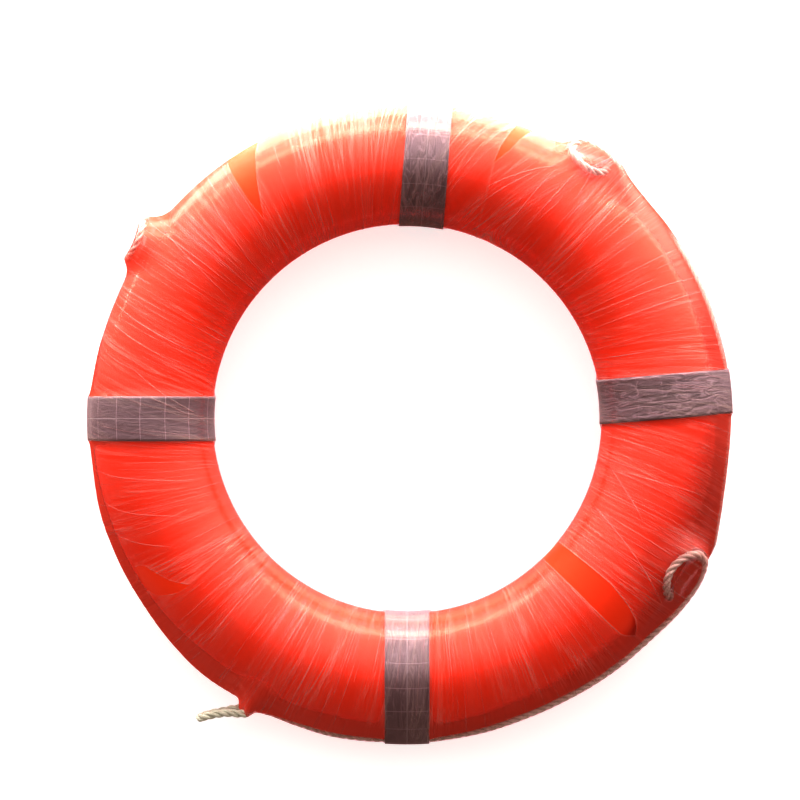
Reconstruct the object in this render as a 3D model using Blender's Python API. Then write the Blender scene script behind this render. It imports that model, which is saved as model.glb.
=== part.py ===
"""Life ring: a hard two-part shell filled with foam, four reflective bands and a grab line, in clear film.

Units are metres. The ring lies flat on its back with its axis along +Z and its front up. It stands on the
undersides of the four bands at z = 0, and its axis passes through the origin. Ring angles run anticlockwise
from +X as seen from the front. Section angles run from the outer edge (0) over the front (90) to the inner
edge (180), and below zero round the back.
"""

import math

import bmesh
import bpy
from mathutils import Vector
from mathutils.geometry import convex_hull_2d

# Ring body
OUTER_DIAMETER = 0.710
INNER_DIAMETER = 0.440
RING_HEIGHT = 0.105
WALL = 0.0025
LAP_DEPTH = 0.004
GAP = 0.0003

# Plugs in the back, let in flush with the flat that they sit in
PLUG_HEAD_DIAMETER = 0.018
PLUG_STEM_DIAMETER = 0.012
PLUG_REACH = 0.008
PLUG_LAND = 0.003
PLUG_ANGLES = {"foam_fill_plug": 45.0, "foam_vent_plug": 225.0}

# Reflective bands, and the woven straps under them, whose edges lie inside the bands' edges
BAND_WIDTH = 0.050
BAND_THICKNESS = 0.0004
STRAP_MARGIN = 0.002
STRAP_THICKNESS = 0.0008

# Grab line, and the sleeve that joins its ends
LINE_DIAMETER = 0.0095
JOINT_LENGTH = 0.040
JOINT_WALL = 0.0006
RUN_PAST_JOINT = 0.002

# Clear film between the bands, open along the outer edge where the line runs
FILM_THICKNESS = 0.00025
FILM_FRONT_EDGE = 54.0
FILM_BACK_EDGE = 292.0

# Ring angle of each band, the section angle of the line under it, and what the line is there
BANDS = {
    "right": (4.9, 0.0, "line"),
    "top": (85.8, -25.0, "line"),
    "left": (180.0, -24.0, "joint"),
    "bottom": (270.0, 0.0, "line"),
}

# Facets
RING_STEPS = 54
FRONT_SPANS = 8
BACK_SPANS = 4
BAND_STEPS = 3
FILM_STEPS = 14
ROUND_SIDES = 12
PLUG_SIDES = 24
LONGEST_LINE_STEP = 0.048
LARGEST_LINE_BEND = math.radians(42)
LINE_BEVEL_STEPS = 2
CURVE_STEPS = 12
SHARP_EDGE = math.radians(40)

# Route of the grab line in each quarter, between the seats under two bands. Each point is a ring angle, a
# section angle and a lift, which is how many line diameters the line is off the shell. Each quarter holds
# one loop of slack.
ROUTES = {
    "upper_right": ("right", "top", (
        (12.0, 2.0, 0.05), (20.0, 3.0, 0.05), (28.0, 3.0, 0.05), (36.0, 3.0, 0.05), (42.5, 4.0, 0.05),
        (47.2, 6.5, 0.45), (50.4, 9.0, 1.2), (53.2, 10.5, 1.5), (55.7, 11.0, 1.45), (57.5, 12.5, 1.2),
        (58.4, 18.0, 0.8), (58.5, 26.0, 0.4), (57.6, 33.0, 0.2), (55.9, 36.5, 0.1), (53.9, 36.5, 0.05),
        (52.2, 32.0, 0.05), (51.3, 22.0, 0.1), (51.1, 8.0, 0.15), (51.9, -5.0, 0.2), (54.0, -18.0, 0.25),
        (57.5, -31.0, 0.2), (62.0, -41.0, 0.1), (68.0, -46.0, 0.1), (74.5, -43.0, 0.1), (80.0, -34.0, 0.05),
    )),
    "upper_left": ("top", "left", (
        (92.0, -34.0, 0.0), (99.0, -43.0, 0.1), (109.0, -48.0, 0.05), (120.0, -48.0, 0.05),
        (130.0, -45.0, 0.1), (138.0, -37.0, 0.1), (143.5, -30.0, 0.1), (147.6, -24.0, 0.1),
        (149.8, -12.0, 0.1), (150.2, 3.0, 0.15), (149.0, 16.0, 0.35), (146.7, 22.0, 0.7),
        (144.4, 17.0, 1.0), (143.2, 4.0, 1.2), (143.1, -12.0, 1.35), (144.2, -28.0, 1.4),
        (147.0, -39.0, 1.1), (151.0, -44.0, 0.5), (155.5, -41.0, 0.15), (160.0, -33.5, 0.05),
        (165.5, -27.0, 0.05), (172.0, -24.0, 0.0),
    )),
    "lower_left": ("left", "bottom", (
        (188.0, -21.0, 0.0), (197.0, -15.0, 0.05), (207.0, -12.0, 0.05), (216.0, -11.0, 0.15),
        (224.0, -9.0, 0.4), (231.0, -6.5, 0.55), (236.0, -4.5, 0.4), (238.6, -2.5, 0.3),
        (240.4, -0.5, 0.3), (241.4, 1.5, 0.65), (241.7, 3.5, 1.3), (241.3, 5.0, 1.95), (240.4, 6.0, 2.35),
        (239.2, 6.6, 2.75), (238.0, 6.8, 3.3), (236.4, 6.4, 4.35), (235.6, 4.2, 5.0), (235.3, 0.0, 5.3),
        (235.6, -4.2, 5.0), (236.4, -6.4, 4.35), (237.9, -7.4, 3.3), (239.6, -8.2, 2.2),
        (241.7, -8.6, 1.25), (244.8, -7.0, 0.6), (249.5, -3.0, 0.4), (256.0, 0.0, 0.4), (262.5, 1.0, 0.2),
    )),
    "lower_right": ("bottom", "right", (
        (277.5, 3.0, 0.0), (284.0, 8.0, 0.0), (291.0, 12.0, 0.0), (298.0, 12.0, 0.1), (305.0, 10.0, 0.3),
        (311.0, 8.0, 0.5), (317.0, 7.0, 0.7), (322.0, 8.0, 1.1), (326.0, 9.0, 1.45), (329.8, 10.0, 1.65),
        (332.8, 13.0, 1.6), (334.6, 19.0, 1.35), (335.0, 27.0, 0.95), (334.0, 35.0, 0.5), (332.0, 41.0, 0.15),
        (329.6, 43.0, 0.05), (327.4, 37.5, 0.05), (326.0, 27.0, 0.05), (325.9, 14.0, 0.1),
        (326.8, 1.0, 0.15), (328.6, -9.0, 0.15), (331.4, -13.0, 0.6), (334.2, -12.0, 1.2),
        (337.0, -8.5, 1.4), (341.0, -5.0, 0.85), (345.5, -2.0, 0.35), (351.0, 0.0, 0.05), (357.0, 0.0, 0.0),
    )),
}


def chord_dip(radius, angle):
    """How far a straight side over this angle of a circle dips inside it."""
    return radius * (1 - math.cos(angle / 2))


# Worked out from the sizes above
outer_radius = OUTER_DIAMETER / 2
centre_radius = (OUTER_DIAMETER + INNER_DIAMETER) / 4
half_width = (OUTER_DIAMETER - INNER_DIAMETER) / 4
half_height = RING_HEIGHT / 2
strap_width = BAND_WIDTH - 2 * STRAP_MARGIN
line_radius = LINE_DIAMETER / 2
joint_radius = (line_radius + GAP) / math.cos(math.pi / ROUND_SIDES) + JOINT_WALL
straight_run = JOINT_LENGTH / 2 + RUN_PAST_JOINT

ring_step = 2 * math.pi / RING_STEPS
skin_lift = GAP + chord_dip(outer_radius, ring_step)
band_lift = skin_lift + STRAP_THICKNESS + GAP
line_lay = GAP + chord_dip(outer_radius + line_radius, LONGEST_LINE_STEP / outer_radius)

middle_height = band_lift + BAND_THICKNESS + half_height

# The back is flat where the plugs sit, and its curve reaches the full depth at the flat's edges.
flat_half = PLUG_HEAD_DIAMETER / 2 + PLUG_LAND
flat_angle = math.acos(flat_half / half_width)
back_depth = half_height / math.sin(flat_angle)


# Section of the ring, as points of radius and height

def section_angles():
    """Section angles of the shell's corners, in radians, from the outer edge over the front."""
    front = [math.pi * i / FRONT_SPANS for i in range(FRONT_SPANS + 1)]
    inner_back = [math.pi + flat_angle * i / BACK_SPANS for i in range(1, BACK_SPANS + 1)]
    outer_back = [2 * math.pi - flat_angle * i / BACK_SPANS for i in range(BACK_SPANS, 0, -1)]
    return front + inner_back + outer_back


def depth_at(angle):
    """Half height of the section's ellipse on the side where this section angle lies."""
    return half_height if math.sin(angle) >= 0 else back_depth


def section_point(angle, height=0.0):
    """Point this height above the true curve of the shell, at a section angle in radians."""
    depth = depth_at(angle)
    point = Vector((centre_radius + half_width * math.cos(angle), middle_height + depth * math.sin(angle)))
    normal = Vector((math.cos(angle) / half_width, math.sin(angle) / depth)).normalized()
    return point + normal * height


def grow(outline, distance):
    """Closed anticlockwise outline with every side moved outward by the distance."""
    grown = []
    for before, here, after in zip(outline[-1:] + outline[:-1], outline, outline[1:] + outline[:1]):
        first = (here - before).normalized()
        second = (after - here).normalized()
        first_normal = Vector((first.y, -first.x))
        second_normal = Vector((second.y, -second.x))
        grown.append(here + (first_normal + second_normal) * distance / (1 + first_normal.dot(second_normal)))
    return grown


def at_height(start, end, height):
    """Point at this height on the line through two section points."""
    share = (height - start.y) / (end.y - start.y)
    return start.lerp(end, share)


def part_of_outline(outline, start, end):
    """Open stretch of an outline between two section angles in degrees, cut inside its sides."""
    angles = [math.degrees(a) for a in section_angles()]
    corners = list(zip(angles, outline))

    def cut(angle):
        for (a, p), (b, q) in zip(corners, corners[1:]):
            if a <= angle <= b:
                return p.lerp(q, (angle - a) / (b - a))

    return [cut(start)] + [p for a, p in corners if start < a < end] + [cut(end)]


def round_outline(centre, radius):
    """Regular outline whose sides, not corners, are this far from the centre."""
    corner = radius / math.cos(math.pi / ROUND_SIDES)
    angles = [2 * math.pi * i / ROUND_SIDES for i in range(ROUND_SIDES)]
    return [centre + Vector((corner * math.cos(a), corner * math.sin(a))) for a in angles]


def taut_outline(points):
    """Anticlockwise outline of a strip pulled tight round all the points."""
    corners = [points[i] for i in convex_hull_2d(points)]
    area = sum(p.cross(q) for p, q in zip(corners, corners[1:] + corners[:1]))
    return corners if area > 0 else corners[::-1]


shell_outline = [section_point(a) for a in section_angles()]


# Building meshes

def finish(mesh_data, name, material):
    """Makes an object of a bmesh, with its faces pointing out and round parts shaded smooth."""
    bmesh.ops.recalc_face_normals(mesh_data, faces=mesh_data.faces)
    mesh = bpy.data.meshes.new(name)
    mesh_data.to_mesh(mesh)
    mesh_data.free()
    mesh.shade_smooth()
    mesh.set_sharp_from_angle(angle=SHARP_EDGE)
    mesh.materials.append(material)
    return place(bpy.data.objects.new(name, mesh))


def place(obj):
    """Puts an object in the scene, on the ring's empty."""
    bpy.context.scene.collection.objects.link(obj)
    obj.parent = ring_centre
    return obj


def join_loops(bm, loops):
    """Quads between each closed loop of corners and the next."""
    for near, far in zip(loops, loops[1:]):
        for i in range(len(near)):
            j = (i + 1) % len(near)
            bm.faces.new((near[i], near[j], far[j], far[i]))


def revolved(name, profile, material):
    """Full ring with this closed section."""
    bm = bmesh.new()
    corners = [bm.verts.new((p.x, 0, p.y)) for p in profile]
    edges = [bm.edges.new((a, b)) for a, b in zip(corners, corners[1:] + corners[:1])]
    bmesh.ops.spin(
        bm,
        geom=corners + edges,
        cent=(0, 0, 0),
        axis=(0, 0, 1),
        angle=2 * math.pi,
        steps=RING_STEPS,
        use_merge=True,
    )
    return finish(bm, name, material)


def turned(name, profile, material):
    """Solid turned about its own Z axis from (radius, height) points that run up its outer side."""
    bm = bmesh.new()
    angles = [2 * math.pi * i / PLUG_SIDES for i in range(PLUG_SIDES)]
    loops = []
    for radius, height in profile:
        loops.append([bm.verts.new((radius * math.cos(a), radius * math.sin(a), height)) for a in angles])
    join_loops(bm, loops)
    bm.faces.new(loops[0])
    bm.faces.new(loops[-1])
    return finish(bm, name, material)


def across_band(point, along):
    """Section point carried sideways along the ring, in the frame of a band whose middle is on +X."""
    return Vector((math.sqrt(point.x**2 - along**2), along, point.y))


def collar(name, inner, thickness, width, material, follow_ring=True):
    """Strip of this width and thickness closed round an inner outline."""
    bm = bmesh.new()
    steps = BAND_STEPS if follow_ring else 1
    offsets = [width * (i / steps - 0.5) for i in range(steps + 1)]
    skins = []
    for outline in (inner, grow(inner, thickness)):
        loops = []
        for along in offsets:
            if follow_ring:
                places = [across_band(p, along) for p in outline]
            else:
                places = [Vector((p.x, along, p.y)) for p in outline]
            loops.append([bm.verts.new(p) for p in places])
        join_loops(bm, loops)
        skins.append(loops)
    for end in (0, -1):
        join_loops(bm, [skins[0][end], skins[1][end]])
    return finish(bm, name, material)


def film_sheet(name, start, end, material):
    """Film over the front, the inner side and the back, from one band's edge to the next."""
    inner = part_of_outline(grow(shell_outline, skin_lift), FILM_FRONT_EDGE, FILM_BACK_EDGE)
    outer = part_of_outline(grow(shell_outline, skin_lift + FILM_THICKNESS), FILM_FRONT_EDGE, FILM_BACK_EDGE)
    profile = inner + outer[::-1]
    clear = BAND_WIDTH / 2 + GAP
    bm = bmesh.new()
    loops = []
    for i in range(FILM_STEPS + 1):
        share = i / FILM_STEPS
        loop = []
        for point in profile:
            margin = math.asin(clear / point.x)
            angle = (start + margin) * (1 - share) + (end - margin) * share
            loop.append(bm.verts.new((point.x * math.cos(angle), point.x * math.sin(angle), point.y)))
        loops.append(loop)
    join_loops(bm, loops)
    bm.faces.new(loops[0])
    bm.faces.new(loops[-1])
    return finish(bm, name, material)


# Grab line

def bundle_radius(band):
    """Radius of what lies under a band: the line, or the sleeve over its joined ends."""
    return joint_radius if BANDS[band][2] == "joint" else line_radius


def seat(band):
    """Section point of the line's centre under a band."""
    return section_point(math.radians(BANDS[band][1]), line_lay + bundle_radius(band))


def beside_seat(band, along):
    """Point of the line's straight run under a band, this far past the band's middle."""
    angle = math.radians(BANDS[band][0])
    radial = Vector((math.cos(angle), math.sin(angle), 0))
    tangent = Vector((-math.sin(angle), math.cos(angle), 0))
    centre = seat(band)
    return radial * centre.x + tangent * along + Vector((0, 0, centre.y))


def on_route(ring_angle, section_angle, lift):
    """Place of one route point."""
    point = section_point(math.radians(section_angle), line_lay + line_radius + lift * LINE_DIAMETER)
    angle = math.radians(ring_angle)
    return Vector((point.x * math.cos(angle), point.x * math.sin(angle), point.y))


def smooth_curve(points):
    """Fine points of a smooth curve through the given ones, whose first and last only steer it."""
    fine = [points[1]]
    for p0, p1, p2, p3 in zip(points, points[1:], points[2:], points[3:]):
        t1 = (p1 - p0).length ** 0.5
        t2 = t1 + (p2 - p1).length ** 0.5
        t3 = t2 + (p3 - p2).length ** 0.5
        for k in range(1, CURVE_STEPS + 1):
            t = t1 + (t2 - t1) * k / CURVE_STEPS
            a = p0.lerp(p1, t / t1)
            b = p1.lerp(p2, (t - t1) / (t2 - t1))
            c = p2.lerp(p3, (t - t2) / (t3 - t2))
            fine.append(a.lerp(b, t / t2).lerp(b.lerp(c, (t - t1) / (t3 - t1)), (t - t1) / (t2 - t1)))
    return fine


def line_path(quarter):
    """Fine points of the line's centre from one band's middle to the next."""
    first, last, route = ROUTES[quarter]
    start = [beside_seat(first, GAP / 2), beside_seat(first, straight_run)]
    end = [beside_seat(last, -straight_run), beside_seat(last, -GAP / 2)]
    curve = smooth_curve(start + [on_route(*point) for point in route] + end)
    return [start[0]] + curve + [end[1]]


def tube_points(path):
    """Keeps the points of a fine path that a plain tube needs: one after each long step or bend."""
    kept = [path[0], path[1]]
    distance = 0.0
    bend = 0.0
    for before, here, after in zip(path[1:], path[2:], path[3:-1]):
        distance += (here - before).length
        bend += (here - before).angle(after - here)
        if distance > LONGEST_LINE_STEP or bend > LARGEST_LINE_BEND:
            kept.append(here)
            distance = 0.0
            bend = 0.0
    if (kept[-1] - path[-2]).length < LINE_DIAMETER:
        kept.pop()
    return kept + [path[-2], path[-1]]


def line_tube(quarter, material):
    """Plain tube along one quarter's free stretch of the line."""
    name = f"grab_line_{quarter}"
    curve = bpy.data.curves.new(name, "CURVE")
    curve.dimensions = "3D"
    curve.bevel_depth = line_radius
    curve.bevel_resolution = LINE_BEVEL_STEPS
    curve.use_fill_caps = True
    curve.materials.append(material)
    points = tube_points(line_path(quarter))
    spline = curve.splines.new("POLY")
    spline.points.add(len(points) - 1)
    for target, point in zip(spline.points, points):
        target.co = (*point, 1)
    return place(bpy.data.objects.new(name, curve))


# Shell halves, which lap at the outer and the inner edge

def lapped(side):
    """Corners of one half shell's section. Side is 1 for the front and -1 for the back."""
    outer_edge = 0
    inner_edge = FRONT_SPANS
    last = len(shell_outline) - 1
    outside = shell_outline
    inside = grow(shell_outline, -WALL)
    step = grow(shell_outline, -(WALL + side * GAP) / 2)
    seam = middle_height + side * GAP / 2
    floor = middle_height - LAP_DEPTH - (0 if side > 0 else GAP)
    if side > 0:
        between = range(outer_edge + 1, inner_edge)
    else:
        between = range(inner_edge + 1, last + 1)

    def rim(edge):
        """Corners from the outside skin to the inside skin at one edge of the ring."""
        front_next = edge + 1 if edge == outer_edge else edge - 1
        back_next = last if edge == outer_edge else edge + 1
        near = front_next if side > 0 else back_next
        points = [at_height(outside[edge], outside[near], seam)]
        points.append(at_height(step[edge], step[near], seam))
        if side > 0:
            points.append(step[edge])
        points.append(at_height(step[edge], step[back_next], floor))
        points.append(at_height(inside[edge], inside[back_next], floor))
        if side > 0:
            points.append(inside[edge])
        return points

    first_rim = rim(outer_edge if side > 0 else inner_edge)
    last_rim = rim(inner_edge if side > 0 else outer_edge)
    skin = [outside[i] for i in between]
    lining = [inside[i] for i in reversed(between)]
    return first_rim[::-1] + skin + last_rim + lining


# Scene

def paint(name, colour, roughness, metallic=0.0, alpha=1.0):
    """Plain surface of one sub-part."""
    material = bpy.data.materials.new(name)
    material.use_nodes = True
    shader = material.node_tree.nodes["Principled BSDF"]
    shader.inputs["Base Color"].default_value = (*colour, 1)
    shader.inputs["Roughness"].default_value = roughness
    shader.inputs["Metallic"].default_value = metallic
    shader.inputs["Alpha"].default_value = alpha
    material.diffuse_color = (*colour, alpha)
    return material


def cut(obj, cutter):
    """Takes the cutter's shape out of an object."""
    cutter.hide_render = True
    cutter.display_type = "WIRE"
    modifier = obj.modifiers.new(f"cut_{cutter.name}", "BOOLEAN")
    modifier.operation = "DIFFERENCE"
    modifier.solver = "EXACT"
    modifier.object = cutter


for old in list(bpy.data.objects):
    bpy.data.objects.remove(old)

ring_centre = bpy.data.objects.new("ring_centre", None)
bpy.context.scene.collection.objects.link(ring_centre)

# Hard shell and its foam
front_shell = revolved("front_shell", lapped(1), paint("front_shell_plastic", (0.90, 0.06, 0.02), 0.35))
back_shell = revolved("back_shell", lapped(-1), paint("back_shell_plastic", (0.86, 0.055, 0.02), 0.40))
foam_section = grow(shell_outline, -(WALL + GAP))
foam_core = revolved("foam_core", foam_section, paint("rigid_foam", (0.86, 0.78, 0.55), 0.9))

# Plugs, each let into half of the wall
head_radius = PLUG_HEAD_DIAMETER / 2
stem_radius = PLUG_STEM_DIAMETER / 2
head_depth = WALL / 2
back_face = middle_height - half_height
for plug_name, plug_angle in PLUG_ANGLES.items():
    angle = math.radians(plug_angle)
    spot = (centre_radius * math.cos(angle), centre_radius * math.sin(angle), back_face)
    plug = turned(
        plug_name,
        (
            (head_radius, 0),
            (head_radius, head_depth - GAP),
            (stem_radius, head_depth - GAP),
            (stem_radius, PLUG_REACH),
        ),
        paint(f"{plug_name}_plastic", (0.80, 0.06, 0.03), 0.5),
    )
    hole = turned(
        f"{plug_name}_hole",
        (
            (head_radius + GAP, -WALL),
            (head_radius + GAP, head_depth),
            (stem_radius + GAP, head_depth),
            (stem_radius + GAP, PLUG_REACH + GAP),
        ),
        paint(f"{plug_name}_cutter", (0.5, 0.5, 0.5), 0.5),
    )
    plug.location = spot
    hole.location = spot
    cut(back_shell, hole)
    cut(foam_core, hole)

# Straps and reflective bands over the line
strap_paint = paint("woven_strap", (0.75, 0.10, 0.04), 0.85)
band_paint = paint("reflective_tape", (0.52, 0.45, 0.47), 0.35, 0.3)
for band_name, (band_angle, line_angle, held) in BANDS.items():
    run_rise = straight_run**2 / (2 * seat(band_name).x)
    pocket = round_outline(seat(band_name), bundle_radius(band_name) + GAP + run_rise)
    strap_inner = taut_outline(grow(shell_outline, skin_lift) + pocket)
    band_inner = grow(strap_inner, STRAP_THICKNESS + GAP)
    strap = collar(f"line_strap_{band_name}", strap_inner, STRAP_THICKNESS, strap_width, strap_paint)
    band = collar(f"reflective_band_{band_name}", band_inner, BAND_THICKNESS, BAND_WIDTH, band_paint)
    for piece in (strap, band):
        piece.rotation_euler.z = math.radians(band_angle)
    if held == "joint":
        bore = round_outline(seat(band_name), line_radius + GAP)
        joint_paint = paint("joint_sleeve_plastic", (0.05, 0.05, 0.05), 0.6)
        joint = collar("line_joint_sleeve", bore, JOINT_WALL, JOINT_LENGTH, joint_paint, follow_ring=False)
        joint.rotation_euler.z = math.radians(band_angle)

# Grab line and film, quarter by quarter
line_paint = paint("twisted_rope", (0.78, 0.70, 0.58), 0.8)
film_paint = paint("clear_film", (0.95, 0.80, 0.78), 0.1, 0.0, 0.35)
for quarter_name, (first_band, last_band, _) in ROUTES.items():
    line_tube(quarter_name, line_paint)
    from_angle = BANDS[first_band][0]
    to_angle = BANDS[last_band][0]
    if to_angle < from_angle:
        to_angle += 360
    film_sheet(f"film_wrap_{quarter_name}", math.radians(from_angle), math.radians(to_angle), film_paint)
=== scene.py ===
# %% [markdown]
# # A life ring in clear film
# The ring is a hard plastic shell filled with foam, with four bands of silver tape, a grab line of
# twisted rope round its edge and a clear stretch film wound over all of it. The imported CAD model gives
# the place and the size of each part. This lesson dresses it: each piece is built again in finer form
# where the CAD has plain facets, and each surface gets a material made of nodes.

# %% Load the frame
import math

import bmesh
import bpy
import numpy as np
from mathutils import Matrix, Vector
from mathutils.geometry import convex_hull_2d
from mathutils.kdtree import KDTree


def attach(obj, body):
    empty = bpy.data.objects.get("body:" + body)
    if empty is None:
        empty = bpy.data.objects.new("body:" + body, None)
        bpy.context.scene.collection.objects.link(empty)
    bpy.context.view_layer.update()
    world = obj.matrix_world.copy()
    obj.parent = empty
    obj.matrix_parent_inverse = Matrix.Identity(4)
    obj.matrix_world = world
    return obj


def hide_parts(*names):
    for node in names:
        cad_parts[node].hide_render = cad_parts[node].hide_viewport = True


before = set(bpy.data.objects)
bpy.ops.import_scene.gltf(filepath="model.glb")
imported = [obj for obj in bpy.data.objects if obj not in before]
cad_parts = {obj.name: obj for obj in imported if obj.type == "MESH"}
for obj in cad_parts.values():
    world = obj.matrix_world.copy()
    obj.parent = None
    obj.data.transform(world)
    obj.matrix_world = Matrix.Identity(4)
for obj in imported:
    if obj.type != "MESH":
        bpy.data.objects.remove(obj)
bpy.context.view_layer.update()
print("CAD nodes:", len(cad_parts))

# %% [markdown]
# ## Sizes
# All sizes are in metres and are those of the CAD source, which this script can't read. The section of
# the ring is an ellipse, 135 mm wide and 105 mm high, with a narrow flat at the back.

# %% Sizes of the ring and what is on it
MM = 0.001
CENTRE_RADIUS = 287.5 * MM
HALF_WIDTH = 67.5 * MM
HALF_HEIGHT = 52.5 * MM
FLAT_HALF = 12 * MM
BACK_DEPTH = HALF_HEIGHT / math.sin(math.acos(FLAT_HALF / HALF_WIDTH))
OUTER_RADIUS = CENTRE_RADIUS + HALF_WIDTH
GAP = 0.3 * MM
WALL = 2.5 * MM
STRAP_THICKNESS, STRAP_WIDTH = 0.8 * MM, 46 * MM
TAPE_THICKNESS, TAPE_WIDTH = 0.4 * MM, 50 * MM
LINE_DIAMETER = 9.5 * MM
LINE_RADIUS = LINE_DIAMETER / 2
SLEEVE_WALL = 0.6 * MM
RING_STEPS, LONGEST_LINE_STEP = 54, 48 * MM


def chord_dip(radius, angle):
    """How far a straight side over this angle of a circle dips inside it."""
    return radius * (1 - math.cos(angle / 2))


SKIN_LIFT = GAP + chord_dip(OUTER_RADIUS, 2 * math.pi / RING_STEPS)
TAPE_LIFT = SKIN_LIFT + STRAP_THICKNESS + GAP
MIDDLE = TAPE_LIFT + TAPE_THICKNESS + HALF_HEIGHT
LINE_LAY = GAP + chord_dip(OUTER_RADIUS + LINE_RADIUS, LONGEST_LINE_STEP / OUTER_RADIUS)
SLEEVE_RADIUS = (LINE_RADIUS + GAP) / math.cos(math.pi / 12) + SLEEVE_WALL
STRAIGHT_RUN = 22 * MM
print("middle height", round(MIDDLE / MM, 2), "mm, line lay", round(LINE_LAY / MM, 2), "mm")

# %% Section of the ring
def section_point(angle, height=0.0):
    """Radius and height of a point this far off the shell, at a section angle in degrees.

    The outer edge is 0, the front 90, the inner edge 180, and the back is below zero."""
    t = math.radians(angle)
    depth = HALF_HEIGHT if math.sin(t) >= 0 else BACK_DEPTH
    point = Vector((CENTRE_RADIUS + HALF_WIDTH * math.cos(t), MIDDLE + depth * math.sin(t)))
    normal = Vector((math.cos(t) / HALF_WIDTH, math.sin(t) / depth)).normalized()
    return point + normal * height


def shell_point(angle, height=0.0):
    """The same, with the flat at the back."""
    point = section_point(angle, height)
    return Vector((point.x, max(point.y, MIDDLE - HALF_HEIGHT - height)))


def around(radius, angle, height):
    """Place at a radius, a ring angle in degrees and a height."""
    a = math.radians(angle)
    return Vector((radius * math.cos(a), radius * math.sin(a), height))


# %% [markdown]
# ## Camera
# The photograph looks straight at the ring's front from a few metres away, so the camera stands over
# the ring, which lies on its back. A long lens keeps the sides nearly parallel. One pixel is 1.13 mm.

# %% Camera
PIXEL = 1.130 * MM
PICTURE_SIDE = 800
SENSOR_WIDTH = 36.0
VIEW_DISTANCE = 4.5
VIEW_CENTRE = Vector((-7.9 * MM, 21.0 * MM, MIDDLE))


def put_in_scene(name, data):
    """Object of a mesh, a light or a camera, in the scene."""
    thing = bpy.data.objects.new(name, data)
    bpy.context.scene.collection.objects.link(thing)
    return thing


camera_data = bpy.data.cameras.new("camera")
camera_data.sensor_width = SENSOR_WIDTH
camera_data.lens = SENSOR_WIDTH * VIEW_DISTANCE / (PICTURE_SIDE * PIXEL)
camera = put_in_scene("camera", camera_data)
camera.location = VIEW_CENTRE + Vector((0, 0, VIEW_DISTANCE))
bpy.context.scene.camera = camera
print("lens", round(camera_data.lens, 1), "mm")

# %% [markdown]
# ## Where the grab line runs
# The line is one rope, held under the four bands, with one loop of slack in each quarter. A route is a
# list of points on the ring: a ring angle, a section angle, and how many line diameters the line is
# off the shell. A smooth curve through them, which passes each point, is the middle of the rope.

# %% Bands and routes
BANDS = {
    "right": (4.9, 0, LINE_RADIUS),
    "top": (85.8, -25, LINE_RADIUS),
    "left": (180, -24, SLEEVE_RADIUS),
    "bottom": (270, 0, LINE_RADIUS),
}
ROUTES = {
    "upper_right": ("right", "top", (
        (12, 2, 0.05), (20, 3, 0.05), (28, 3, 0.05), (36, 3, 0.05), (42.5, 4, 0.05),
        (47.2, 6.5, 0.45), (50.4, 9, 1.2), (53.2, 10.5, 1.5), (55.7, 11, 1.45), (57.5, 12.5, 1.2),
        (58.4, 18, 0.8), (58.5, 26, 0.4), (57.6, 33, 0.2), (55.9, 36.5, 0.1), (53.9, 36.5, 0.05),
        (52.2, 32, 0.05), (51.3, 22, 0.1), (51.1, 8, 0.15), (51.9, -5, 0.2), (54, -18, 0.25),
        (57.5, -31, 0.2), (62, -41, 0.1), (68, -46, 0.1), (74.5, -43, 0.1), (80, -34, 0.05),
    )),
    "upper_left": ("top", "left", (
        (92, -34, 0), (99, -43, 0.1), (109, -48, 0.05), (120, -48, 0.05),
        (130, -45, 0.1), (138, -37, 0.1), (143.5, -30, 0.1), (147.6, -24, 0.1),
        (149.8, -12, 0.1), (150.2, 3, 0.15), (149, 16, 0.35), (146.7, 22, 0.7),
        (144.4, 17, 1), (143.2, 4, 1.2), (143.1, -12, 1.35), (144.2, -28, 1.4),
        (147, -39, 1.1), (151, -44, 0.5), (155.5, -41, 0.15), (160, -33.5, 0.05),
        (165.5, -27, 0.05), (172, -24, 0),
    )),
    "lower_left": ("left", "bottom", (
        (188, -21, 0), (197, -15, 0.05), (207, -12, 0.05), (216, -11, 0.15),
        (224, -9, 0.4), (231, -6.5, 0.55), (236, -4.5, 0.4), (238.6, -2.5, 0.3),
        (240.4, -0.5, 0.3), (241.4, 1.5, 0.65), (241.7, 3.5, 1.3), (241.3, 5, 1.95), (240.4, 6, 2.35),
        (239.2, 6.6, 2.75), (238, 6.8, 3.3), (236.4, 6.4, 4.35), (235.6, 4.2, 5), (235.3, 0, 5.3),
        (235.6, -4.2, 5), (236.4, -6.4, 4.35), (237.9, -7.4, 3.3), (239.6, -8.2, 2.2),
        (241.7, -8.6, 1.25), (244.8, -7, 0.6), (249.5, -3, 0.4), (256, 0, 0.4), (262.5, 1, 0.2),
    )),
    "lower_right": ("bottom", "right", (
        (277.5, 3, 0), (284, 8, 0), (291, 12, 0), (298, 12, 0.1), (305, 10, 0.3),
        (311, 8, 0.5), (317, 7, 0.7), (322, 8, 1.1), (326, 9, 1.45), (329.8, 10, 1.65),
        (332.8, 13, 1.6), (334.6, 19, 1.35), (335, 27, 0.95), (334, 35, 0.5), (332, 41, 0.15),
        (329.6, 43, 0.05), (327.4, 37.5, 0.05), (326, 27, 0.05), (325.9, 14, 0.1),
        (326.8, 1, 0.15), (328.6, -9, 0.15), (331.4, -13, 0.6), (334.2, -12, 1.2),
        (337, -8.5, 1.4), (341, -5, 0.85), (345.5, -2, 0.35), (351, 0, 0.05), (357, 0, 0),
    )),
}


def seat(band):
    """Radius and height of the line's middle under a band."""
    return section_point(BANDS[band][1], LINE_LAY + BANDS[band][2])


def beside_seat(band, along):
    """Point of the line's straight run under a band, this far past the band's middle."""
    a = math.radians(BANDS[band][0])
    middle = seat(band)
    return (Vector((math.cos(a), math.sin(a), 0)) * middle.x
            + Vector((-math.sin(a), math.cos(a), 0)) * along + Vector((0, 0, middle.y)))


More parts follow.
